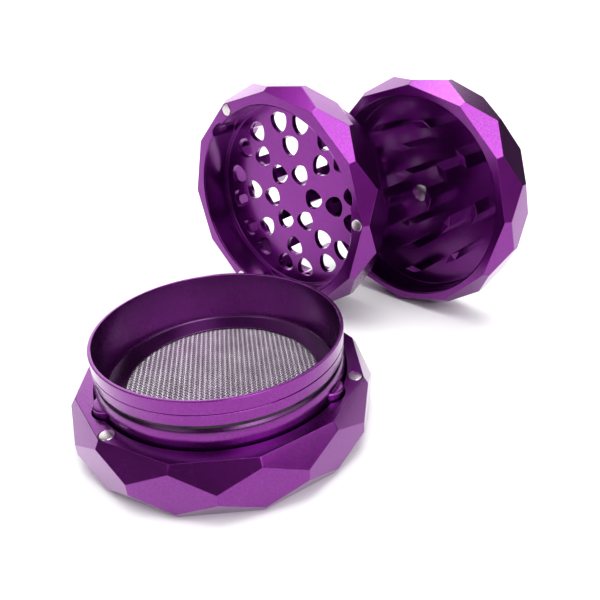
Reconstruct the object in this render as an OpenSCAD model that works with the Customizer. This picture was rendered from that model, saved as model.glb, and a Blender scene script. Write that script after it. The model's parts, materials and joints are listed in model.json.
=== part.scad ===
// Four-piece herb grinder, standing open: a base tray with the sieve cup seated in it,
// and behind it the grinding ring and the lid, each stood on edge on one of its side facets.
// The origin is the centre of the base tray's underside, and +Z is up.

/* [Faceted shells] */
// Width across two opposite side facets
across_facets = 63; // [61:0.5:66]
// Corner radius of the twelve-sided end faces
end_corner_r = 30.5; // [30:0.1:31]
// Length of the short ridge between an end-face corner and the side facet below it, along Z
ridge_drop = 1.55; // [1.3:0.05:1.8]
// Height of the base tray
base_h = 12.5; // [12:0.1:14]
// Height of the grinding ring and of the lid, without the collar
shell_h = 11.8; // [11.4:0.1:12.6]

/* [Base tray] */
// Radius of the base tray's mouth, where the sieve cup drops in
base_mouth_r = 26.6; // [26.6:0.1:26.9]
// Radius of the catch tray below the sieve
catch_r = 24.4; // [22:0.1:24.8]
// Thickness of the base tray's floor
base_floor_t = 2; // [1.2:0.1:2.5]
// Height of the ledge that the sieve cup is pushed down to
seat_z = 7.3; // [7:0.1:7.5]
// Depth of the three keyways below the base tray's end face
keyway_depth = 3.4; // [3:0.1:3.8]

/* [Sieve cup] */
// Outer radius of the sieve cup's rim
cup_rim_r = 26.2; // [26:0.05:26.3]
// Outer radius of the sieve cup's neck, where it sits in the base tray
cup_neck_r = 26.4; // [26.1:0.05:26.4]
// Outer radius of the neck just below the groove
cup_waist_r = 25.95; // [25.8:0.05:26.05]
// Inner radius of the sieve cup at its rim
cup_inner_top_r = 25.45; // [25.2:0.05:25.6]
// Inner radius of the sieve cup above its screen flange
cup_inner_low_r = 24.9; // [24.6:0.05:25.1]
// Height of the sieve cup's rim above the base tray's end face
cup_rise = 10.1; // [9:0.1:10.2]
// Distance of the sieve cup above its seat, as it stands when it is not pushed home
cup_proud = 1; // [0.8:0.1:1.2]
// Radius of the clear opening over the woven screen
screen_open_r = 20.7; // [20:0.1:22]
// Height of the underside of the woven screen's seat
screen_z = 9.3; // [9.3:0.1:9.6]

/* [Grinding ring] */
// Radius of the ring's bore on its base side
ring_bore_r = 26.95; // [26.8:0.05:27]
// Radius of the ring's bore beside the plate, below the small ledge
ring_inner_r = 26.4; // [26.4:0.05:26.7]
// Depth from the ring's end face to the plate
plate_depth = 9.3; // [9.2:0.1:9.6]
// Thickness of the perforated plate
plate_t = 1.7; // [1.5:0.1:2]
// Outer radius of the collar that the lid turns on
collar_r = 27.25; // [27:0.05:27.4]
// Inner radius of the collar
collar_inner_r = 25.6; // [25.5:0.05:25.8]
// Height of the collar above the ring's lid-side face
collar_h = 6.2; // [4:0.1:7]

/* [Lid] */
// Radius of the lid's bore, which turns round the collar
lid_bore_r = 27.65; // [27.6:0.05:27.8]
// Depth of the lid's bore
lid_depth = 8.4; // [8.3:0.1:8.6]

/* [Teeth and holes] */
// Length of a diamond tooth, across its sharp ends
tooth_len = 6; // [5:0.1:6.4]
// Width of a diamond tooth
tooth_w = 2; // [1.6:0.1:2.2]
// Height of a tooth's two points above its floor
tooth_h = 7.1; // [6.5:0.1:7.2]
// Radial spacing between a row of the lid's teeth and the next row of the ring's
row_step = 3.5; // [3.4:0.05:3.5]
// Radius from a plate hole's centre to the middle of its sides
hole_side_r = 2.6; // [2.4:0.05:2.65]
// Radius from a plate hole's centre to its rounded corners
hole_corner_r = 3; // [2.8:0.05:3.1]

/* [Magnets] */
// Diameter of the small magnets in the end faces
magnet_d = 3.1; // [2.8:0.1:3.1]
// Length of the small magnets
magnet_len = 2.5; // [2:0.1:3]
// Distance of the small magnets from the axis
magnet_circle_r = 28.7; // [28.6:0.05:28.8]
// Diameter of the two magnets on the axis
centre_magnet_d = 5; // [4:0.1:5.4]

/* [Where the open pieces stand] */
// Place of the ring's end face, along X
ring_x = -44.5; // [-60:0.5:-44]
// Place of the ring's end face, along Y
ring_y = -26; // [-40:0.5:-20]
// Turn of the ring about Z
ring_yaw = 1.7; // [-3:0.1:3]
// Place of the lid's end face, along X
lid_x = -69.6; // [-90:0.1:-69]
// Place of the lid's end face, along Y
lid_y = 1.2; // [-5:0.1:10]
// Turn of the lid about Z
lid_yaw = -4.3; // [-5:0.1:1]

/* [Hidden] */
$fn = 120;
eps = 0.01;
big = 120;

// Facet geometry, worked out from the end-face corner and the side facets
sides = 12;
sector = 360 / sides;
side_r = across_facets / 2;
end_edge_r = end_corner_r * cos(sector / 2);
facet_slope = (side_r - end_corner_r) * cos(sector / 2) / ridge_drop;
facet_tilt = atan(facet_slope);

// Magnets and their pockets
magnet_count = 3;
magnet_step = 360 / magnet_count;
magnet_gap = 0.05;
magnet_chamfer = 0.35;
magnet_proud = 0.1;

// Keyways in the base and the ring, and the sieve cup's keys that fill them
keyway_angle = -14.8;
keyway_circle_r = 24.4;
keyway_r = 3.7;
key_r = 3.5;
key_rise = 1.7;
key_root_depth = 0.1;

// Sieve cup details
cup_gap = 0.15;
cup_bottom_z = seat_z + cup_proud + cup_gap;
cup_top_z = base_h + cup_rise;
key_bottom_z = base_h - keyway_depth + cup_proud + cup_gap;
groove_top_z = base_h + 4.9;
groove_bottom_z = base_h + 3.8;
groove_r = 25.5;
waist_z = base_h + 3.4;
neck_z = base_h + 2;
score_z = base_h + 7.2;
score_w = 0.3;
score_depth = 0.2;
rim_round = 0.3;
flange_slope_h = 0.9;
flange_lip_h = 0.35;
screen_r = 23.2;
screen_t = 0.56;
clamp_r = 23.3;
clamp_gap = 0.05;

// Grinding ring details
ring_ledge_depth = 8.6;
ring_keyway_depth = 8.6;
plate_top = plate_depth + plate_t;
collar_top = shell_h + collar_h;
post_r = 3.6;
centre_magnet_len = 2.5;
lid_magnet_proud = 0.1;
post_gap = 0.3;
post_h = lid_depth - lid_magnet_proud - post_gap - (plate_top - shell_h);
post_magnet_recess = 0.1;
glide_h = 1;
glide_outer_r = 27.5;
glide_inner_r = 26.75;
glide_gap = 0.05;

// Teeth: a shallow notch runs across the middle of each top. Each row is a count and a first angle
tooth_notch = 0.25;
lid_tooth_rows = [[4, 160], [6, 160], [9, 160]];
lid_first_row_r = 2 * row_step;
ring_tooth_rows = [[6, 37], [8, 37.1], [12, 8.5]];
ring_first_row_r = lid_first_row_r + row_step;

// Plate holes, each a triangle with bowed sides and rounded corners
hole_corners = 3;
hole_bow_r = 3.9;
inner_holes = 6;
inner_hole_circle_r = 7.7;
inner_hole_angle = 6;
inner_hole_turn = -5;
pair_groups = 8;
middle_hole_circle_r = 15;
outer_hole_circle_r = 21.5;
group_angle = 14.7;
outer_pair_half_angle = 10.2;

// Small chamfers on the mouths
mouth_chamfer = 0.35;

purple = "#6b1f82";
deep_purple = "#4f1266";
nickel = "silver";

// ---------------------------------------------------------------- shared shapes

// Everything behind a sloped facet plane that leaves the upper end face
module facet_half_space(angle, top_z) {
    rotate([0, 0, angle])
        translate([end_edge_r, 0, top_z])
            rotate([0, -facet_tilt, 0])
                translate([-big, -big / 2, -big / 2])
                    cube(big);
}

// The ring of sloped facets round one end face, as a solid that fills the shell
module facet_crown(top_z) {
    intersection_for(k = [0 : sides - 1])
        facet_half_space((k + 0.5) * sector, top_z);
}

// A solid faceted shell from z = 0 up to z = h
module faceted_shell(h) {
    intersection() {
        rotate([0, 0, sector / 2])
            cylinder(r = side_r / cos(sector / 2), h = h, $fn = sides);
        facet_crown(h);
        translate([0, 0, h])
            mirror([0, 0, 1])
                facet_crown(h);
    }
}

// A round hole from z = low up to z = high, chamfered where it meets z = high
module mouth(r, low, high) {
    translate([0, 0, low])
        cylinder(r = r, h = high - low + 1);
    translate([0, 0, high - mouth_chamfer])
        cylinder(r1 = r, r2 = r + mouth_chamfer + eps, h = mouth_chamfer + eps);
}

// Puts a child at each of the three magnet places, turned by a further angle
module at_magnets(r, angle = 0) {
    for (k = [0 : magnet_count - 1])
        rotate([0, 0, k * magnet_step + angle])
            translate([r, 0, 0])
                children();
}

// Pockets for the three magnets of an end face at z = face
module magnet_pockets(face) {
    at_magnets(magnet_circle_r)
        translate([0, 0, face - magnet_len - magnet_gap])
            cylinder(d = magnet_d + 2 * magnet_gap, h = magnet_len + 1);
}

// One magnet, lying with its top face at z = 0
module magnet(d, length) {
    translate([0, 0, -length])
        cylinder(d = d, h = length - magnet_chamfer);
    translate([0, 0, -magnet_chamfer])
        cylinder(d1 = d, d2 = d - 2 * magnet_chamfer, h = magnet_chamfer);
}

// One of the three magnets of an end face at z = face
module end_magnet(index, face) {
    rotate([0, 0, index * magnet_step])
        translate([magnet_circle_r, 0, face + magnet_proud])
            magnet(magnet_d, magnet_len);
}

// A diamond tooth that points up from z = 0, with its sharp ends along Y
module tooth() {
    half_len = tooth_len / 2;
    half_w = tooth_w / 2;
    intersection() {
        translate([0, 0, -eps])
            linear_extrude(height = tooth_h + 1)
                polygon([[half_w, 0], [0, half_len], [-half_w, 0], [0, -half_len]]);
        rotate([90, 0, 90])
            translate([0, 0, -half_w - 1])
                linear_extrude(height = tooth_w + 2)
                    polygon([
                        [-half_len, -1], [half_len, -1], [half_len, tooth_h],
                        [0, tooth_h - tooth_notch], [-half_len, tooth_h]
                    ]);
    }
}

// Rows of teeth, where rows holds a count and a first angle for each row
module tooth_rows(rows, first_r) {
    for (row = [0 : len(rows) - 1])
        for (k = [0 : rows[row][0] - 1])
            rotate([0, 0, rows[row][1] + k * 360 / rows[row][0]])
                translate([first_r + 2 * row_step * row, 0, 0])
                    tooth();
}

// Stands a piece on a side facet, its end face at z = 0 turned to look along +X
module stand(x, y, yaw) {
    lowest_corner_angle = 5 * sector;
    translate([x, y, side_r])
        rotate([0, 0, yaw])
            rotate([0, 90, 0])
                rotate([0, 0, -lowest_corner_angle])
                    children();
}

module stand_ring() {
    stand(ring_x, ring_y, ring_yaw)
        children();
}

module stand_lid() {
    stand(lid_x, lid_y, lid_yaw)
        children();
}

// ---------------------------------------------------------------- base

module base_tray() {
    color(purple)
        difference() {
            faceted_shell(base_h);
            mouth(base_mouth_r, seat_z, base_h);
            translate([0, 0, base_floor_t])
                cylinder(r = catch_r, h = base_h);
            at_magnets(keyway_circle_r, keyway_angle)
                translate([0, 0, base_h - keyway_depth])
                    cylinder(r = keyway_r, h = keyway_depth + 1);
            magnet_pockets(base_h);
        }
}

module base_magnet(index) {
    color(nickel)
        end_magnet(index, base_h);
}

// ---------------------------------------------------------------- sieve cup

// Half section of the cup wall, with its neck, groove, scored line and screen flange
module cup_section() {
    polygon([
        [screen_open_r, screen_z + screen_t + clamp_gap],
        [screen_open_r, screen_z + screen_t + clamp_gap + flange_lip_h],
        [cup_inner_low_r, screen_z + screen_t + clamp_gap + flange_lip_h + flange_slope_h],
        [cup_inner_top_r, cup_top_z - rim_round],
        [cup_inner_top_r + rim_round / 2, cup_top_z],
        [cup_rim_r - rim_round, cup_top_z],
        [cup_rim_r, cup_top_z - rim_round],
        [cup_rim_r, score_z + score_w / 2],
        [cup_rim_r - score_depth, score_z],
        [cup_rim_r, score_z - score_w / 2],
        [cup_rim_r, groove_top_z],
        [groove_r, groove_top_z],
        [groove_r, groove_bottom_z],
        [cup_waist_r, waist_z],
        [cup_neck_r, neck_z],
        [cup_neck_r, cup_bottom_z],
        [clamp_r, cup_bottom_z],
        [clamp_r, screen_z + screen_t + clamp_gap]
    ]);
}

module sieve_cup() {
    color(purple) {
        rotate_extrude()
            cup_section();
        difference() {
            at_magnets(keyway_circle_r, keyway_angle)
                translate([0, 0, key_bottom_z])
                    cylinder(r = key_r, h = base_h + key_rise - key_bottom_z);
            cylinder(r = cup_neck_r - key_root_depth, h = cup_top_z);
        }
    }
}

module sieve_screen() {
    color("gray")
        translate([0, 0, screen_z])
            cylinder(r = screen_r, h = screen_t);
}

module screen_clamp_ring() {
    color(deep_purple)
        difference() {
            translate([0, 0, cup_bottom_z])
                cylinder(r = clamp_r - clamp_gap, h = screen_z - clamp_gap - cup_bottom_z);
            translate([0, 0, cup_bottom_z - 1])
                cylinder(r = screen_open_r, h = screen_z - cup_bottom_z + 2);
        }
}

// ---------------------------------------------------------------- grinding ring

// One plate hole, with a rounded corner along +X
module plate_hole() {
    intersection() {
        cylinder(r = hole_corner_r, h = plate_t + 2);
        intersection_for(k = [0 : hole_corners - 1])
            rotate([0, 0, k * 360 / hole_corners])
                translate([hole_bow_r - hole_side_r, 0, 0])
                    cylinder(r = hole_bow_r, h = plate_t + 2);
    }
}

// A plate hole on a circle, its corner turned outward or inward
module placed_hole(circle_r, angle, corner_turn) {
    rotate([0, 0, angle])
        translate([circle_r, 0, -1])
            rotate([0, 0, corner_turn])
                plate_hole();
}

module plate_holes() {
    for (k = [0 : inner_holes - 1])
        placed_hole(
            inner_hole_circle_r,
            inner_hole_angle + k * 360 / inner_holes,
            inner_hole_turn
        );
    for (k = [0 : pair_groups - 1]) {
        angle = group_angle + k * 360 / pair_groups;
        placed_hole(middle_hole_circle_r, angle, 180);
        placed_hole(outer_hole_circle_r, angle - outer_pair_half_angle, 180);
        placed_hole(outer_hole_circle_r, angle + outer_pair_half_angle, 180);
    }
}

// The ring with its base-side end face at z = 0 and its collar below it
module ring_body() {
    difference() {
        union() {
            translate([0, 0, -shell_h])
                faceted_shell(shell_h);
            translate([0, 0, -collar_top])
                cylinder(r = collar_r, h = collar_h + 1);
        }
        mouth(ring_bore_r, -ring_ledge_depth, 0);
        translate([0, 0, -plate_depth])
            cylinder(r = ring_inner_r, h = plate_depth);
        translate([0, 0, -collar_top - 1])
            cylinder(r = collar_inner_r, h = collar_top - plate_top + 1);
        at_magnets(keyway_circle_r, -keyway_angle)
            translate([0, 0, -ring_keyway_depth])
                cylinder(r = keyway_r, h = ring_keyway_depth + 1);
        magnet_pockets(0);
        translate([0, 0, -plate_top])
            plate_holes();
        glide_groove();
    }
}

// The groove at the root of the collar, which holds the glide ring
module glide_groove() {
    translate([0, 0, -shell_h - glide_h])
        difference() {
            cylinder(r = collar_r + 1, h = glide_h);
            translate([0, 0, -1])
                cylinder(r = glide_inner_r - glide_gap, h = glide_h + 2);
        }
}

// The post on the plate that carries the centre magnet, pointing down from the plate
module ring_post() {
    difference() {
        translate([0, 0, -plate_top - post_h])
            cylinder(r = post_r, h = post_h + eps);
        translate([0, 0, -plate_top - post_h - 1])
            cylinder(
                d = centre_magnet_d + 2 * magnet_gap,
                h = centre_magnet_len + post_magnet_recess + magnet_gap + 1
            );
    }
}

module grinding_ring() {
    color(purple)
        stand_ring() {
            ring_body();
            ring_post();
            translate([0, 0, -plate_top])
                mirror([0, 0, 1])
                    tooth_rows(ring_tooth_rows, ring_first_row_r);
        }
}

module ring_magnet(index) {
    color(nickel)
        stand_ring()
            end_magnet(index, 0);
}

module ring_centre_magnet() {
    color(nickel)
        stand_ring()
            translate([0, 0, -plate_top - post_h + post_magnet_recess])
                mirror([0, 0, 1])
                    magnet(centre_magnet_d, centre_magnet_len);
}

module glide_ring() {
    color("dimgray")
        stand_ring()
            translate([0, 0, -shell_h - glide_h + glide_gap])
                difference() {
                    cylinder(r = glide_outer_r, h = glide_h - 2 * glide_gap);
                    translate([0, 0, -1])
                        cylinder(r = glide_inner_r, h = glide_h + 2);
                }
}

// ---------------------------------------------------------------- lid

// The lid with its end face at z = 0 and its top below it
module lid() {
    color(purple)
        stand_lid() {
            difference() {
                translate([0, 0, -shell_h])
                    faceted_shell(shell_h);
                mouth(lid_bore_r, -lid_depth, 0);
                translate([0, 0, -lid_depth + lid_magnet_proud - centre_magnet_len - magnet_gap])
                    cylinder(d = centre_magnet_d + 2 * magnet_gap, h = centre_magnet_len + 1);
            }
            translate([0, 0, -lid_depth])
                tooth_rows(lid_tooth_rows, lid_first_row_r);
        }
}

module lid_magnet() {
    color(nickel)
        stand_lid()
            translate([0, 0, -lid_depth + lid_magnet_proud])
                magnet(centre_magnet_d, centre_magnet_len);
}

base_tray();
base_magnet(0);  // base_magnet_1
base_magnet(1);  // base_magnet_2
base_magnet(2);  // base_magnet_3
sieve_cup();
sieve_screen();
screen_clamp_ring();
grinding_ring();
ring_magnet(0);  // ring_magnet_1
ring_magnet(1);  // ring_magnet_2
ring_magnet(2);  // ring_magnet_3
ring_centre_magnet();
glide_ring();
lid();
lid_magnet();
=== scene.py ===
"""Looks of a faceted four-piece herb grinder that stands open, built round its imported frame.

Lengths are in millimetres until a piece is placed, and the Blender scene is in metres.
A standing piece is made in its own frame: its end face at z = 0 and its body below it.
"""
import json
from math import atan2, ceil, cos, floor, pi, radians, sin, sqrt

import bmesh
import bpy
from mathutils import Euler, Matrix, Vector


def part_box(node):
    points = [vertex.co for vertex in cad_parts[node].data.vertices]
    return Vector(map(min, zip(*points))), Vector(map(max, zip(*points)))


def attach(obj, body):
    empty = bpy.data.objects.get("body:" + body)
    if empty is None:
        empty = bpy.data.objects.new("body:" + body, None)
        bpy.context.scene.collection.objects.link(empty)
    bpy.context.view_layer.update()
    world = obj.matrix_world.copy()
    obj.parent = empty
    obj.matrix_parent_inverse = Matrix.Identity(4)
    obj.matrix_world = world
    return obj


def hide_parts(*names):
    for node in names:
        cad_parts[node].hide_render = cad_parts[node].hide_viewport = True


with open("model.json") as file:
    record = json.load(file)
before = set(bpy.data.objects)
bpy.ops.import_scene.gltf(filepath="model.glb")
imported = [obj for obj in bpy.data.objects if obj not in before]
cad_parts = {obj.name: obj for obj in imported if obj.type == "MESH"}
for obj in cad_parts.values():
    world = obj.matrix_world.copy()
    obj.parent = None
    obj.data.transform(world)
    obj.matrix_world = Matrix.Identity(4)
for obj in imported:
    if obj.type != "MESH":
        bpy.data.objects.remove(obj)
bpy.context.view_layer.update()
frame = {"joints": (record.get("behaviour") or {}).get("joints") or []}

MM = 0.001

# ------------------------------------------------------------------ dimensions

# Twelve-sided shells
SIDES = 12
SECTOR = 2 * pi / SIDES
SIDE_R = (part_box("lid")[1].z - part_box("lid")[0].z) / 2 / MM
END_CORNER_R = 30.5
RIDGE_DROP = 1.55
BASE_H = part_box("base_tray")[1].z / MM
SHELL_H = 11.8
FACET_EDGE = 0.1
MOUTH_CHAMFER = 0.35
MOUTH_ROUND = 0.08

# The angle of the side facet that a standing piece rests on
FACET_DOWN = 5 * SECTOR

# Base tray
TRAY_MOUTH_R = 26.6
TRAY_CATCH_R = 24.4
TRAY_FLOOR = 2
SEAT_Z = 7.3
TRAY_KEYWAY_DEPTH = 3.4

# Magnets, and the keyways beside them
MAGNET_ANGLES = [k * radians(120) for k in range(3)]
MAGNET_CIRCLE_R = 28.7
MAGNET_D = 3.1
MAGNET_LEN = 2.5
MAGNET_PROUD = 0.1
CENTRE_MAGNET_D = 5
CENTRE_MAGNET_LEN = 2.5
POCKET_GAP = 0.05
POCKET_CHAMFER = 0.12
POST_MAGNET_SUNK = 0.1
KEYWAY_TURN = radians(-14.8)
KEYWAY_CIRCLE_R = 24.4
KEYWAY_R = 3.7
KEYWAY_CHAMFER = 0.2

# Sieve cup
CUP_BOTTOM = 8.45
CUP_TOP = BASE_H + 10.1
CUP_RIM_R = 26.2
CUP_NECK_R = 26.4
CUP_WAIST_R = 25.95
CUP_INNER_TOP_R = 25.45
CUP_INNER_LOW_R = 24.9
GROOVE_R = 25.5
GROOVE_LOW = BASE_H + 3.8
GROOVE_HIGH = BASE_H + 4.9
WAIST_Z = BASE_H + 3.4
NECK_Z = BASE_H + 2
SCORE_Z = BASE_H + 7.2
SCORE_DEPTH = 0.2
SCORE_HALF_W = 0.15
FLANGE_R = 20.7
FLANGE_EDGE_H = 0.35
FLANGE_SLOPE_H = 1.25
CLAMP_R = 23.3
CLAMP_GAP = 0.05
KEY_R = 3.5
KEY_LOW = BASE_H - 2.25
KEY_HIGH = BASE_H + 1.7
KEY_ROOT = 0.1

# Woven screen
SCREEN_Z = 9.3
SCREEN_R = 23.15
WIRE_D = 0.25
WIRE_PITCH = 0.705
WIRE_TURNS = (radians(-2), radians(98.7))
WIRE_END_R = SCREEN_R - 0.3
LAST_WIRE_R = SCREEN_R - 1

# Grinding ring
RING_BORE_R = 26.95
RING_INNER_R = 26.4
RING_LEDGE = 8.6
PLATE_NEAR = 9.3
PLATE_FAR = 11
COLLAR_R = 27.25
COLLAR_INNER_R = 25.6
COLLAR_END = 18
COLLAR_CHAMFER = 0.25
POST_R = 3.6
POST_H = 8.8
POST_ROOT = 0.5
GLIDE_OUTER_R = 27.5
GLIDE_INNER_R = 26.75
GLIDE_NEAR = SHELL_H + 0.05
GLIDE_FAR = SHELL_H + 0.95

# Lid
LID_BORE_R = 27.65
LID_DEPTH = 8.4
LID_MAGNET_PROUD = 0.1

# Teeth, in rows of (count, first angle in degrees, radius), and plate holes
TOOTH_LEN = 6
TOOTH_W = 2
TOOTH_H = 7.1
TOOTH_NOTCH = 0.25
TOOTH_ROOT = 0.3
TOOTH_EDGE = 0.05
LID_TEETH = [(4, 160, 7), (6, 160, 14), (9, 160, 21)]
RING_TEETH = [(6, 37, 10.5), (8, 37.1, 17.5), (12, 8.5, 24.5)]
HOLE_SIDE_R = 2.6
HOLE_CORNER_R = 3
HOLE_BOW_R = 3.9
HOLE_EDGE = 0.18
INNER_HOLES = 6
INNER_HOLES_R = 7.7
INNER_HOLES_ANGLE = radians(6)
INNER_HOLES_TURN = radians(-5)
HOLE_GROUPS = 8
GROUP_ANGLE = radians(14.7)
SINGLE_HOLES_R = 15
PAIRED_HOLES_R = 21.5
PAIR_ANGLE = radians(10.2)

# How finely round shapes are drawn, and the least angle of an edge that stays sharp
STEPS = 192
SMALL_STEPS = 48
ROUND_STEPS = 3
SHARP_ANGLE = radians(24)

# How far a cutter stands out of what it cuts, and the collar reaches into the shell
PAST = 1

# ------------------------------------------------------------------ shape tools


def made(name, bm):
    """A new object from a bmesh, with its faces turned outward."""
    bmesh.ops.recalc_face_normals(bm, faces=bm.faces)
    mesh = bpy.data.meshes.new(name)
    bm.to_mesh(mesh)
    bm.free()
    obj = bpy.data.objects.new(name, mesh)
    bpy.context.scene.collection.objects.link(obj)
    return obj


def outline(*corners):
    """A closed outline from corners of (radius, height, rounding); the rounding may be left out."""
    points = []
    for i, corner in enumerate(corners):
        here = Vector(corner[:2])
        if len(corner) == 2:
            points.append(here)
            continue
        start = here + (Vector(corners[i - 1][:2]) - here).normalized() * corner[2]
        end = here + (Vector(corners[(i + 1) % len(corners)][:2]) - here).normalized() * corner[2]
        for step in range(ROUND_STEPS + 1):
            t = step / ROUND_STEPS
            points.append(start.lerp(here, t).lerp(here.lerp(end, t), t))
    return points


def full_turn(steps):
    """Angles spaced evenly round a full turn."""
    return [2 * pi * k / steps for k in range(steps)]


def circle(bm, radius, height, angles):
    """New points on a circle, one at each angle."""
    return [bm.verts.new((radius * cos(a), radius * sin(a), height)) for a in angles]


def walls(bm, rings):
    """Four-sided faces between each ring of points and the next."""
    for low, high in zip(rings, rings[1:]):
        for k in range(len(low)):
            n = (k + 1) % len(low)
            bm.faces.new((low[k], low[n], high[n], high[k]))


def tube(bm, rings):
    """A closed tube through rings of points."""
    bm.faces.new(rings[0])
    bm.faces.new(rings[-1])
    walls(bm, rings)


def lathe(name, points, steps=STEPS):
    """A closed body of revolution from a closed outline of (radius, height) points."""
    bm = bmesh.new()
    angles = full_turn(steps)
    rings = [
        circle(bm, radius, height, angles) if radius else [bm.verts.new((0, 0, height))]
        for radius, height in points
    ]
    for ring, following in zip(rings, rings[1:] + rings[:1]):
        for k in range(steps):
            corners = [
                ring[k % len(ring)],
                ring[(k + 1) % len(ring)],
                following[(k + 1) % len(following)],
                following[k % len(following)],
            ]
            distinct = list(dict.fromkeys(corners))
            if len(distinct) > 2:
                bm.faces.new(distinct)
    return made(name, bm)


def faceted_shell(name, low, high):
    """A solid twelve-sided shell with sloped facets round both ends and softened edges.

    A sloped facet runs from an edge of the end face, between two ridges, to a point on the side.
    """
    vertex_r = SIDE_R / cos(SECTOR / 2)
    edge_r = END_CORNER_R * cos(SECTOR / 2)
    # The facet is flat, so how far it runs outward per mm of height gives the height of its point
    slope = (SIDE_R - END_CORNER_R) * cos(SECTOR / 2) / RIDGE_DROP
    point_drop = (vertex_r - edge_r) / slope
    on_facets = [k * SECTOR for k in range(SIDES)]
    between = [(k + 0.5) * SECTOR for k in range(SIDES)]
    bm = bmesh.new()
    ends = []
    for end, inward in ((high, -1), (low, 1)):
        corner = circle(bm, END_CORNER_R, end, on_facets)
        ridge = circle(bm, SIDE_R, end + inward * RIDGE_DROP, on_facets)
        point = circle(bm, vertex_r, end + inward * point_drop, between)
        bm.faces.new(corner)
        for k in range(SIDES):
            n = (k + 1) % SIDES
            bm.faces.new((corner[k], ridge[k], point[k], ridge[n], corner[n]))
        ends.append((ridge, point))
    (ridge_a, point_a), (ridge_b, point_b) = ends
    for k in range(SIDES):
        side = (ridge_a[k], point_a[k - 1], point_b[k - 1], ridge_b[k], point_b[k], point_a[k])
        bm.faces.new(side)
    bmesh.ops.recalc_face_normals(bm, faces=bm.faces)
    bmesh.ops.bevel(bm, geom=bm.edges[:], offset=FACET_EDGE, segments=2, profile=0.5, affect="EDGES")
    return made(name, bm)


def moved(obj, matrix):
    """The object with its mesh moved by a matrix."""
    obj.data.transform(matrix)
    return obj


def on_circle(radius, angle, height=0):
    """Turned to an angle and moved out along it."""
    return Matrix.Rotation(angle, 4, "Z") @ Matrix.Translation((radius, 0, height))


def joined(name, parts):
    """One object from several that don't touch."""
    bm = bmesh.new()
    for part in parts:
        bm.from_mesh(part.data)
        bpy.data.objects.remove(part)
    return made(name, bm)


def combined(body, operation, *others):
    """The body after a boolean operation with each of the others, which are used up."""
    for other in others:
        modifier = body.modifiers.new(operation, "BOOLEAN")
        modifier.operation = operation
        modifier.solver = "MANIFOLD"
        modifier.object = other
    shape = body.evaluated_get(bpy.context.evaluated_depsgraph_get())
    result = bpy.data.meshes.new_from_object(shape)
    body.modifiers.clear()
    body.data = result
    for other in others:
        bpy.data.objects.remove(other)
    return body


def shaded(obj):
    """Smooth shading that keeps flat faces flat and sharp edges sharp."""
    obj.data.shade_smooth()
    obj.data.set_sharp_from_angle(angle=SHARP_ANGLE)
    modifier = obj.modifiers.new("weighted", "WEIGHTED_NORMAL")
    modifier.keep_sharp = True
    modifier.weight = 100
    shape = obj.evaluated_get(bpy.context.evaluated_depsgraph_get())
    result = bpy.data.meshes.new_from_object(shape)
    obj.modifiers.clear()
    obj.data = result
    return obj


def placed(obj, place, material, body, node):
    """Puts a finished piece in the scene, in metres, in place of its CAD node."""
    obj.data.transform(place @ Matrix.Scale(MM, 4))
    shaded(obj)
    obj.data.materials.clear()
    obj.data.materials.append(material)
    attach(obj, body)
    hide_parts(node)
    return obj


# ------------------------------------------------------------------ places


def centre(node):
    """The middle of a CAD node's box, in metres."""
    low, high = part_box(node)
    return (low + high) / 2


def stand(face_centre, axis):
    """Where a piece stands on one side facet, its end face looking along the axis."""
    turn = Matrix.Rotation(atan2(axis.y, axis.x), 4, "Z")
    tip = Matrix.Rotation(pi / 2, 4, "Y") @ Matrix.Rotation(-FACET_DOWN, 4, "Z")
    return Matrix.Translation(face_centre) @ turn @ tip


def ring_place():
    """The grinding ring's place, from its three magnets."""
    magnets = [centre(f"ring_magnet_{k}") for k in (1, 2, 3)]
    middle = sum(magnets, Vector()) / len(magnets)
    axis = (magnets[1] - magnets[0]).cross(magnets[2] - magnets[0]).normalized()
    return stand(middle + axis * (MAGNET_LEN / 2 - MAGNET_PROUD) * MM, axis)


def lid_place():
    """The lid's place, from the joint that it turns on."""
    joint = next(j for j in frame["joints"] if j["name"] == "lid_turn")
    return stand(Vector(joint["pos_m"]), Vector(joint["axis"]))


UPRIGHT = Matrix.Identity(4)
RING = ring_place()
LID = lid_place()

# ------------------------------------------------------------------ materials

# The blasted grain, and the slow change of sheen, in mm
GRAIN_SIZE = 0.35
GRAIN_DEPTH = 0.03
CLOUD_SIZE = 9


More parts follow.
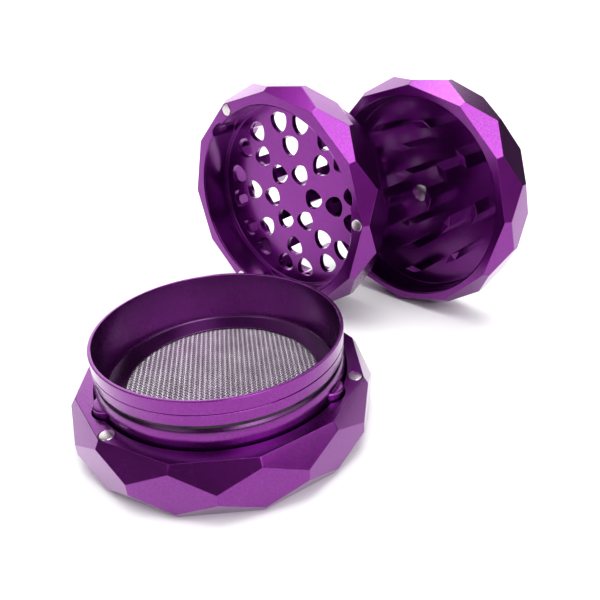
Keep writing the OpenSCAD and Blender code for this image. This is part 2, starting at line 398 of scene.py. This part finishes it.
class Nodes:
    """A short way to write a material's node tree."""

    def __init__(self, name):
        self.material = bpy.data.materials.new(name)
        self.material.use_nodes = True
        self.tree = self.material.node_tree
        self.shader = self.tree.nodes["Principled BSDF"]
        self.place = self.add("ShaderNodeTexCoord").outputs["Object"]

    def add(self, kind, **settings):
        """A new node with its settings."""
        node = self.tree.nodes.new(kind)
        for name, value in settings.items():
            setattr(node, name, value)
        return node

    def link(self, source, target):
        """Joins an output to an input."""
        self.tree.links.new(source, target)

    def noise(self, size_mm, detail=2, roughness=0.5):
        """Noise whose grains are about size_mm across."""
        noise = self.add("ShaderNodeTexNoise")
        noise.inputs["Scale"].default_value = 1 / (size_mm * MM)
        noise.inputs["Detail"].default_value = detail
        noise.inputs["Roughness"].default_value = roughness
        self.link(self.place, noise.inputs["Vector"])
        return noise.outputs["Fac"]

    def ramp(self, value, low, high, dark, light):
        """Maps a value from low..high onto two colours."""
        ramp = self.add("ShaderNodeValToRGB")
        ramp.color_ramp.elements[0].position = low
        ramp.color_ramp.elements[1].position = high
        ramp.color_ramp.elements[0].color = (*dark, 1)
        ramp.color_ramp.elements[1].color = (*light, 1)
        self.link(value, ramp.inputs["Fac"])
        return ramp.outputs["Color"]

    def range(self, value, low, high):
        """Maps a value from 0..1 onto low..high."""
        node = self.add("ShaderNodeMapRange")
        node.inputs["To Min"].default_value = low
        node.inputs["To Max"].default_value = high
        self.link(value, node.inputs["Value"])
        return node.outputs["Result"]

    def compared(self, value, limit, operation):
        """One where the comparison of a value with a limit is true, and nought elsewhere."""
        node = self.add("ShaderNodeMath", operation=operation)
        node.inputs[1].default_value = limit
        self.link(value, node.inputs[0])
        return node.outputs["Value"]

    def dimmed(self, colour, low, high, inner, outer, share):
        """The colour, with shade painted in: only a share of it is left between two heights and two
        radii, in mm.
        """
        split = self.add("ShaderNodeSeparateXYZ")
        self.link(self.place, split.inputs["Vector"])
        flat = self.add("ShaderNodeVectorMath", operation="MULTIPLY")
        flat.inputs[1].default_value = (1, 1, 0)
        self.link(self.place, flat.inputs[0])
        reach = self.add("ShaderNodeVectorMath", operation="LENGTH")
        self.link(flat.outputs["Vector"], reach.inputs[0])
        height, radius = split.outputs["Z"], reach.outputs["Value"]
        inside = self.compared(height, low * MM, "GREATER_THAN")
        tests = (
            (height, high, "LESS_THAN"), (radius, inner, "GREATER_THAN"), (radius, outer, "LESS_THAN"),
        )
        for value, limit, operation in tests:
            both = self.add("ShaderNodeMath", operation="MULTIPLY")
            self.link(inside, both.inputs[0])
            self.link(self.compared(value, limit * MM, operation), both.inputs[1])
            inside = both.outputs["Value"]
        left = self.range(inside, 1, share)
        scaled = self.add("ShaderNodeVectorMath", operation="MULTIPLY")
        self.link(colour, scaled.inputs[0])
        self.link(left, scaled.inputs[1])
        return scaled.outputs["Vector"]

    def bump(self, value, depth_mm):
        """Raises the surface by a value from 0..1, up to depth_mm."""
        node = self.add("ShaderNodeBump")
        node.inputs["Distance"].default_value = depth_mm * MM
        self.link(value, node.inputs["Height"])
        self.link(node.outputs["Normal"], self.shader.inputs["Normal"])

    def colour(self, socket):
        """Gives the shader its base colour."""
        self.link(socket, self.shader.inputs["Base Color"])

    def sheen(self, value, low, high):
        """Gives the shader a roughness between low and high, by a value from 0..1."""
        self.link(self.range(value, low, high), self.shader.inputs["Roughness"])

    def set(self, **values):
        """Sets sockets of the shader, named with _ for a space."""
        for name, value in values.items():
            self.shader.inputs[name.replace("_", " ")].default_value = value


def anodised(name, dark, light, roughness, painted_shades=()):
    """Bead-blasted, dyed aluminium under a clear hard oxide coat.

    Shades are places where shade is painted into the colour, each with the values that Nodes.dimmed
    takes after the colour.
    """
    n = Nodes(name)
    grain = n.noise(GRAIN_SIZE, detail=3, roughness=0.7)
    colour = n.ramp(grain, 0.35, 0.65, dark, light)
    for shade in painted_shades:
        colour = n.dimmed(colour, *shade)
    n.colour(colour)
    n.sheen(n.noise(CLOUD_SIZE, detail=2), roughness - 0.03, roughness + 0.03)
    n.bump(grain, GRAIN_DEPTH)
    n.set(Metallic=1, Coat_Weight=0.9, Coat_Roughness=roughness - 0.1, Coat_IOR=1.5)
    return n.material


def nickel():
    """Plated magnet faces: smooth, with a slow change of sheen."""
    n = Nodes("magnet_nickel")
    tone = n.noise(2.5)
    n.colour(n.ramp(tone, 0.3, 0.7, (0.56, 0.51, 0.53), (0.66, 0.61, 0.62)))
    n.sheen(tone, 0.2, 0.28)
    n.set(Metallic=1)
    return n.material


def steel_wire():
    """Drawn stainless wire, with a slow change of tone over the screen."""
    n = Nodes("screen_steel")
    n.colour(n.ramp(n.noise(4, detail=3), 0.3, 0.7, (0.62, 0.59, 0.62), (0.8, 0.78, 0.8)))
    n.sheen(n.noise(0.2), 0.4, 0.5)
    n.set(Metallic=1)
    return n.material


def dark_polymer():
    """Moulded low-friction polymer of the glide ring."""
    n = Nodes("glide_polymer")
    grain = n.noise(0.25)
    n.colour(n.ramp(grain, 0.3, 0.7, (0.012, 0.008, 0.014), (0.03, 0.02, 0.034)))
    n.sheen(grain, 0.45, 0.6)
    n.bump(grain, 0.02)
    return n.material


# Painted shade on the cup: the slope round the screen, the groove under the rim, and the waist are
# darkened where shade falls.
# Each is (low, high, inner radius, outer radius, share of the colour left).
SLOPE_PAINTED_SHADE = (SCREEN_Z, SCREEN_Z + 2.05, 0, CUP_INNER_LOW_R + 0.3, 0.3)
GROOVE_PAINTED_SHADE = (GROOVE_LOW - 0.05, GROOVE_HIGH, CUP_INNER_TOP_R - 0.05, CUP_RIM_R - 0.03, 0.06)
WAIST_PAINTED_SHADE = (WAIST_Z - 0.3, GROOVE_LOW, CUP_INNER_TOP_R - 0.05, CUP_NECK_R, 0.4)

SHELL_PURPLE = anodised("anodised_purple", (0.15, 0.005, 0.175), (0.225, 0.014, 0.27), 0.26)
# The turned copy carries the cup's painted shade.
TURNED_PURPLE = anodised(
    "anodised_purple_turned", (0.165, 0.007, 0.19), (0.235, 0.016, 0.28), 0.27,
    (SLOPE_PAINTED_SHADE, GROOVE_PAINTED_SHADE, WAIST_PAINTED_SHADE),
)
NICKEL = nickel()
STEEL = steel_wire()
POLYMER = dark_polymer()

# ------------------------------------------------------------------ pieces


def mouth_cutter(radius, floor, face, corner, narrower=()):
    """A cutter for a round bore that opens at a face with a small chamfer.

    Narrower steps below the bore are corners of its outline, from the floor up.
    """
    bore_floor = narrower[-1][1] if narrower else floor
    return lathe("mouth", outline(
        (0, floor),
        *narrower,
        (radius, bore_floor, corner),
        (radius, face - MOUTH_CHAMFER, MOUTH_ROUND),
        (radius + MOUTH_CHAMFER + PAST, face + PAST),
        (0, face + PAST),
    ))


def pocket_cutter(diameter, depth, face):
    """A cutter for a magnet's pocket, with a broken edge at the face."""
    radius = diameter / 2 + POCKET_GAP
    return lathe("pocket", outline(
        (0, face - depth),
        (radius, face - depth),
        (radius, face - POCKET_CHAMFER),
        (radius + POCKET_CHAMFER + PAST, face + PAST),
        (0, face + PAST),
    ), SMALL_STEPS)


def pocket_cutters(face):
    """Cutters for the three magnet pockets in a shell's end face."""
    return joined("pockets", [
        moved(pocket_cutter(MAGNET_D, MAGNET_LEN + POCKET_GAP, face), on_circle(MAGNET_CIRCLE_R, angle))
        for angle in MAGNET_ANGLES
    ])


def keyway_cutters(depth, face, turn):
    """Cutters for the three keyways beside the magnets, with soft bottom and top edges."""
    points = outline(
        (0, face - depth),
        (KEYWAY_R, face - depth, 0.3),
        (KEYWAY_R, face - KEYWAY_CHAMFER, 0.1),
        (KEYWAY_R + KEYWAY_CHAMFER + PAST, face + PAST),
        (0, face + PAST),
    )
    return joined("keyways", [
        moved(lathe("keyway", points, STEPS // 2), on_circle(KEYWAY_CIRCLE_R, angle + turn))
        for angle in MAGNET_ANGLES
    ])


def disc_magnet(name, diameter, length):
    """A plated disc magnet with its top face at z = 0 and rounded rims."""
    radius = diameter / 2
    return lathe(name, outline(
        (0, -length), (radius, -length, 0.15), (radius, 0, 0.3), (0, 0),
    ), SMALL_STEPS * 2)


def face_magnets(face, body, piece, node):
    """The three disc magnets in a shell's end face."""
    for k, angle in enumerate(MAGNET_ANGLES, 1):
        magnet = disc_magnet(f"{piece}_{k}", MAGNET_D, MAGNET_LEN)
        moved(magnet, on_circle(MAGNET_CIRCLE_R, angle, MAGNET_PROUD))
        placed(magnet, face, NICKEL, body, f"{node}_{k}")


def tooth():
    """A diamond tooth on z = 0: a shallow notch crosses the middle of its top."""
    half_w = TOOTH_W / 2
    half_len = TOOTH_LEN / 2
    plan = [(half_w, 0), (0, half_len), (-half_w, 0), (0, -half_len)]
    tops = [TOOTH_H - TOOTH_NOTCH, TOOTH_H] * 2
    bm = bmesh.new()
    low = [bm.verts.new((x, y, -TOOTH_ROOT)) for x, y in plan]
    high = [bm.verts.new((x, y, z)) for (x, y), z in zip(plan, tops)]
    bm.faces.new(low)
    bm.faces.new((high[0], high[1], high[2]))
    bm.faces.new((high[2], high[3], high[0]))
    walls(bm, [low, high])
    bmesh.ops.recalc_face_normals(bm, faces=bm.faces)
    upper = [e for e in bm.edges if max(v.co.z for v in e.verts) > 0]
    bmesh.ops.bevel(bm, geom=upper, offset=TOOTH_EDGE, segments=1, profile=0.5, affect="EDGES")
    return made("tooth", bm)


def teeth(rows):
    """Rows of teeth on z = 0, each given as (count, first angle in degrees, radius)."""
    return joined("teeth", [
        moved(tooth(), on_circle(radius, radians(first + k * 360 / count)))
        for count, first, radius in rows
        for k in range(count)
    ])


def hole_radius(angle):
    """A plate hole's outline, in polar form: a triangle of bowed sides with rounded corners."""
    shift = HOLE_BOW_R - HOLE_SIDE_R
    reaches = [HOLE_CORNER_R]
    for k in range(3):
        along = shift * cos(angle - k * radians(120))
        reaches.append(along + sqrt(along ** 2 + HOLE_BOW_R ** 2 - shift ** 2))
    return min(reaches)


def hole_cutter(turn):
    """A cutter for one plate hole, with broken edges on both faces of the plate."""
    past = 0.3
    bend = HOLE_EDGE * 0.3
    # Each level is a height, and how far the cutter is outside the hole's outline there
    levels = [
        (-PLATE_FAR - past, HOLE_EDGE + past),
        (-PLATE_FAR + HOLE_EDGE, 0),
        (-PLATE_NEAR - HOLE_EDGE, 0),
        (-PLATE_NEAR - bend, bend),
        (-PLATE_NEAR + past, HOLE_EDGE + past),
    ]
    angles = full_turn(SMALL_STEPS)
    bm = bmesh.new()
    rings = []
    for height, flare in levels:
        radii = [hole_radius(a) + flare for a in angles]
        rings.append([
            bm.verts.new((r * cos(a + turn), r * sin(a + turn), height)) for r, a in zip(radii, angles)
        ])
    tube(bm, rings)
    return made("hole", bm)


def plate_hole_cutters():
    """Cutters for six holes round the middle, and eight groups of one and two further out."""
    places = []
    for k in range(INNER_HOLES):
        angle = INNER_HOLES_ANGLE + k * 2 * pi / INNER_HOLES
        places.append((INNER_HOLES_R, angle, INNER_HOLES_TURN))
    for k in range(HOLE_GROUPS):
        angle = GROUP_ANGLE + k * 2 * pi / HOLE_GROUPS
        places.append((SINGLE_HOLES_R, angle, pi))
        places.append((PAIRED_HOLES_R, angle - PAIR_ANGLE, pi))
        places.append((PAIRED_HOLES_R, angle + PAIR_ANGLE, pi))
    return joined("holes", [
        moved(hole_cutter(turn), on_circle(radius, angle)) for radius, angle, turn in places
    ])


def build_base():
    """The tray and its three magnets."""
    tray = faceted_shell("tray", 0, BASE_H)
    catch = [(TRAY_CATCH_R, TRAY_FLOOR, 1.5), (TRAY_CATCH_R, SEAT_Z, 0.15)]
    combined(
        tray, "DIFFERENCE",
        mouth_cutter(TRAY_MOUTH_R, TRAY_FLOOR, BASE_H, 0.15, catch),
        keyway_cutters(TRAY_KEYWAY_DEPTH, BASE_H, KEYWAY_TURN),
        pocket_cutters(BASE_H),
    )
    placed(tray, UPRIGHT, SHELL_PURPLE, "base", "base_tray")
    face_magnets(Matrix.Translation((0, 0, BASE_H * MM)), "base", "tray_magnet", "base_magnet")


def cup_keys():
    """The three keys that stand in the tray's keyways, hollowed to join the cup's neck."""
    points = outline((0, KEY_LOW), (KEY_R, KEY_LOW, 0.2), (KEY_R, KEY_HIGH, 0.45), (0, KEY_HIGH))
    keys = joined("keys", [
        moved(lathe("key", points, SMALL_STEPS * 2), on_circle(KEYWAY_CIRCLE_R, angle + KEYWAY_TURN))
        for angle in MAGNET_ANGLES
    ])
    # The core that is cut away reaches past both ends of the keys
    radius = CUP_NECK_R - KEY_ROOT
    low, high = BASE_H - 5, BASE_H + 5
    core = lathe("core", outline((0, low), (radius, low), (radius, high), (0, high)))
    return combined(keys, "DIFFERENCE", core)


def build_sieve():
    """The cup with its keys, the screen, and the ring that clamps the screen under the cup's flange."""
    seat = SCREEN_Z + 2 * WIRE_D + CLAMP_GAP
    cup = lathe("cup", outline(
        (FLANGE_R, seat, 0.06),
        (FLANGE_R, seat + FLANGE_EDGE_H, 0.15),
        (CUP_INNER_LOW_R, seat + FLANGE_SLOPE_H, 0.5),
        (CUP_INNER_TOP_R, CUP_TOP, 0.22),
        (CUP_RIM_R, CUP_TOP, 0.22),
        (CUP_RIM_R, SCORE_Z + SCORE_HALF_W),
        (CUP_RIM_R - SCORE_DEPTH, SCORE_Z),
        (CUP_RIM_R, SCORE_Z - SCORE_HALF_W),
        (CUP_RIM_R, GROOVE_HIGH, 0.12),
        (GROOVE_R, GROOVE_HIGH, 0.1),
        (GROOVE_R, GROOVE_LOW, 0.05),
        (CUP_WAIST_R, WAIST_Z, 0.15),
        (CUP_NECK_R, NECK_Z, 0.8),
        (CUP_NECK_R, CUP_BOTTOM, 0.15),
        (CLAMP_R, CUP_BOTTOM, 0.06),
        (CLAMP_R, seat),
    ))
    combined(cup, "UNION", cup_keys())
    placed(cup, UPRIGHT, TURNED_PURPLE, "sieve", "sieve_cup")
    clamp_r = CLAMP_R - CLAMP_GAP
    clamp_top = SCREEN_Z - CLAMP_GAP
    clamp = lathe("cup_clamp", outline(
        (FLANGE_R, CUP_BOTTOM, 0.08),
        (clamp_r, CUP_BOTTOM, 0.08),
        (clamp_r, clamp_top, 0.08),
        (FLANGE_R, clamp_top, 0.08),
    ))
    placed(clamp, UPRIGHT, TURNED_PURPLE, "sieve", "screen_clamp_ring")
    placed(woven_screen(), UPRIGHT, STEEL, "sieve", "sieve_screen")


def wire(bm, start, step, crossings, rise):
    """One wire of the weave, which passes over and under the wires it crosses, by turns.

    It runs level near each crossing, for the crest's share of a step on both sides.
    """
    angles = full_turn(6)
    crest = 0.22
    across = Vector((-step.y, step.x, 0)).normalized()
    up = Vector((0, 0, 1))
    rings = []
    for k in range(crossings):
        for along in (k - crest, k + crest):
            point = start + step * along
            point.z += rise if k % 2 else -rise
            rings.append([
                bm.verts.new(point + (across * cos(a) + up * sin(a)) * WIRE_D / 2) for a in angles
            ])
    tube(bm, rings)


def woven_screen():
    """A plain weave of two families of wires, slightly out of square as woven wire often is."""
    bm = bmesh.new()
    spacing = WIRE_PITCH / sin(WIRE_TURNS[1] - WIRE_TURNS[0])
    steps = [Vector((cos(turn), sin(turn), 0)) * spacing for turn in WIRE_TURNS]
    count = int(SCREEN_R / WIRE_PITCH)
    for family, step in enumerate(steps):
        for i in range(-count, count + 1):
            # The wire's line, counted in steps from its foot, passes nearest to the screen's centre
            # at its middle. Crossings are at whole steps.
            foot = steps[1 - family] * i
            middle = -foot.dot(step) / spacing ** 2
            nearest = (foot + step * middle).length
            if nearest > LAST_WIRE_R:
                continue
            half = sqrt(WIRE_END_R ** 2 - nearest ** 2) / spacing
            first = ceil(middle - half)
            crossings = floor(middle + half) - first + 1
            sign = 1 if (first + i + family) % 2 == 0 else -1
            start = foot + step * first + Vector((0, 0, SCREEN_Z + WIRE_D))
            wire(bm, start, step, crossings, sign * WIRE_D / 2)
    return made("cup_screen", bm)


def ring_hollows():
    """Cutters for the bore over the plate and the hollow of the collar."""
    ledge = [(RING_INNER_R, -PLATE_NEAR, 0.2), (RING_INNER_R, -RING_LEDGE, 0.1)]
    bore = mouth_cutter(RING_BORE_R, -PLATE_NEAR, 0, 0.08, ledge)
    hollow = lathe("hollow", outline(
        (0, -PLATE_FAR),
        (0, -COLLAR_END - PAST),
        (COLLAR_INNER_R + COLLAR_CHAMFER + PAST, -COLLAR_END - PAST),
        (COLLAR_INNER_R, -COLLAR_END + COLLAR_CHAMFER, 0.1),
        (COLLAR_INNER_R, -PLATE_FAR, 0.3),
    ))
    return bore, hollow


def glide_groove_cutter():
    """A cutter for the seat of the glide ring, at the collar's root."""
    inner, outer = GLIDE_INNER_R - POCKET_GAP, COLLAR_R + PAST
    low, high = -SHELL_H - PAST, -SHELL_H
    return lathe("groove", outline((inner, low), (outer, low), (outer, high), (inner, high)))


def post(end):
    """The post in the middle of the plate's far side, with a pocket for its magnet."""
    pocket_r = CENTRE_MAGNET_D / 2 + POCKET_GAP
    pocket_floor = end + CENTRE_MAGNET_LEN + POST_MAGNET_SUNK + POCKET_GAP
    return lathe("post", outline(
        (0, POST_ROOT - PLATE_FAR),
        (POST_R, POST_ROOT - PLATE_FAR),
        (POST_R, end, 0.25),
        (pocket_r, end, 0.1),
        (pocket_r, pocket_floor),
        (0, pocket_floor),
    ), SMALL_STEPS * 2)


def build_ring():
    """The grinding ring, its magnets and the glide ring."""
    ring = faceted_shell("ring", -SHELL_H, 0)
    collar = lathe("collar", outline(
        (0, -COLLAR_END), (COLLAR_R, -COLLAR_END, 0.3), (COLLAR_R, PAST - SHELL_H), (0, PAST - SHELL_H),
    ))
    combined(ring, "UNION", collar)
    combined(
        ring, "DIFFERENCE",
        *ring_hollows(), keyway_cutters(RING_LEDGE, 0, -KEYWAY_TURN), pocket_cutters(0),
        glide_groove_cutter(), plate_hole_cutters(),
    )
    post_end = -PLATE_FAR - POST_H
    mirror = Matrix.Translation((0, 0, -PLATE_FAR)) @ Matrix.Diagonal((1, 1, -1, 1))
    ring_teeth = moved(teeth(RING_TEETH), mirror)
    ring_teeth.data.flip_normals()  # the mirror had turned them inward
    combined(ring, "UNION", post(post_end), ring_teeth)
    placed(ring, RING, SHELL_PURPLE, "ring", "grinding_ring")
    face_magnets(RING, "ring", "ring_magnet_disc", "ring_magnet")

    magnet = disc_magnet("ring_post_magnet", CENTRE_MAGNET_D, CENTRE_MAGNET_LEN)
    turned_over = Matrix.Rotation(pi, 4, "X")
    moved(magnet, Matrix.Translation((0, 0, post_end + POST_MAGNET_SUNK)) @ turned_over)
    placed(magnet, RING, NICKEL, "ring", "ring_centre_magnet")
    glide = lathe("ring_glide", outline(
        (GLIDE_INNER_R, -GLIDE_FAR, 0.1),
        (GLIDE_OUTER_R, -GLIDE_FAR, 0.25),
        (GLIDE_OUTER_R, -GLIDE_NEAR, 0.25),
        (GLIDE_INNER_R, -GLIDE_NEAR, 0.1),
    ))
    placed(glide, RING, POLYMER, "ring", "glide_ring")


def build_lid():
    """The lid with its teeth, and the magnet that it turns round."""
    lid = faceted_shell("lid_shell", -SHELL_H, 0)
    pocket_depth = CENTRE_MAGNET_LEN - LID_MAGNET_PROUD + POCKET_GAP
    combined(
        lid, "DIFFERENCE",
        mouth_cutter(LID_BORE_R, -LID_DEPTH, 0, 0.4),
        pocket_cutter(CENTRE_MAGNET_D, pocket_depth, -LID_DEPTH),
    )
    combined(lid, "UNION", moved(teeth(LID_TEETH), Matrix.Translation((0, 0, -LID_DEPTH))))
    placed(lid, LID, SHELL_PURPLE, "lid", "lid")
    magnet = disc_magnet("lid_magnet_disc", CENTRE_MAGNET_D, CENTRE_MAGNET_LEN)
    moved(magnet, Matrix.Translation((0, 0, LID_MAGNET_PROUD - LID_DEPTH)))
    placed(magnet, LID, NICKEL, "lid_core", "lid_magnet")


build_base()
build_sieve()
build_ring()
build_lid()

# ------------------------------------------------------------------ floor, light and camera

# How far the floor reaches, in metres
FLOOR_SIZE = 6

# The camera that was fitted to the photograph, in mm and degrees
CAMERA_PLACE = (66.90, 83.79, 81.91)
CAMERA_TURN = (62.824, 2.300, 130.877)
CAMERA_LENS = 34.853
CAMERA_SENSOR = 36

# The studio's panels, as (azimuth, elevation, half angle, strength), with angles in degrees
PANELS = [
    (180, 78, 17, 4.6),
    (0, 80, 17, 2.6),
    (79, 58, 13, 3),
    (72, 33, 17, 2.8),
    (108, 33, 17, 1.3),
    (0, 33, 17, 1),
    (-45, 57, 17, 1.4),
    (-72, 33, 17, 0.9),
    (-122, 30, 17, 1.4),
    (-163, 38, 10, 2),
    (-112, 6, 17, 1.1),
    (-136, 4, 17, 1.1),
    (-160, 2, 17, 1.1),
]

# How far a panel's soft edge reaches to both sides, and the light of the room between the panels
PANEL_EDGE = 5
ROOM_LIGHT = 0.12


def ground():
    """A plain pale floor that runs out of sight."""
    bm = bmesh.new()
    bmesh.ops.create_grid(bm, x_segments=1, y_segments=1, size=FLOOR_SIZE)
    obj = made("floor", bm)
    n = Nodes("pale_floor")
    n.colour(n.ramp(n.noise(40), 0.3, 0.7, (0.87, 0.87, 0.87), (0.9, 0.9, 0.9)))
    n.set(Roughness=0.9)
    obj.data.materials.append(n.material)


def direction(azimuth, elevation):
    """The unit vector towards a place in the studio, given in degrees."""
    a, e = radians(azimuth), radians(elevation)
    return Vector((cos(e) * cos(a), cos(e) * sin(a), sin(e)))


def studio():
    """White panels round a dark room, each with a soft edge, as the world's light."""
    world = bpy.data.worlds.new("studio")
    bpy.context.scene.world = world
    world.use_nodes = True
    tree = world.node_tree
    background = tree.nodes["Background"]
    background.inputs["Color"].default_value = (1, 1, 1, 1)
    place = tree.nodes.new("ShaderNodeTexCoord").outputs["Generated"]

    def panel(azimuth, elevation, reach, strength):
        """The light of one panel, for the direction that is looked in."""
        towards = tree.nodes.new("ShaderNodeVectorMath")
        towards.operation = "DOT_PRODUCT"
        towards.inputs[1].default_value = direction(azimuth, elevation)
        edge = tree.nodes.new("ShaderNodeMapRange")
        edge.interpolation_type = "SMOOTHSTEP"
        edge.inputs["From Min"].default_value = cos(radians(reach + PANEL_EDGE))
        edge.inputs["From Max"].default_value = cos(radians(reach - PANEL_EDGE))
        edge.inputs["To Max"].default_value = strength
        tree.links.new(place, towards.inputs[0])
        tree.links.new(towards.outputs["Value"], edge.inputs["Value"])
        return edge.outputs["Result"]

    total = None
    for values in PANELS:
        both = tree.nodes.new("ShaderNodeMath")
        both.operation = "ADD"
        if total:
            tree.links.new(total, both.inputs[0])
        else:
            both.inputs[0].default_value = ROOM_LIGHT
        tree.links.new(panel(*values), both.inputs[1])
        total = both.outputs["Value"]
    tree.links.new(total, background.inputs["Strength"])


def camera():
    """The photograph's view of the three pieces."""
    data = bpy.data.cameras.new("view")
    data.sensor_width = CAMERA_SENSOR
    data.lens = CAMERA_LENS
    data.clip_start = 0.005
    data.clip_end = 50
    obj = bpy.data.objects.new("view", data)
    bpy.context.scene.collection.objects.link(obj)
    obj.location = Vector(CAMERA_PLACE) * MM
    obj.rotation_euler = Euler([radians(turn) for turn in CAMERA_TURN])
    bpy.context.scene.camera = obj


ground()
studio()
camera()
bpy.context.scene.view_settings.view_transform = "Standard"
bpy.context.scene.view_settings.look = "Medium High Contrast"
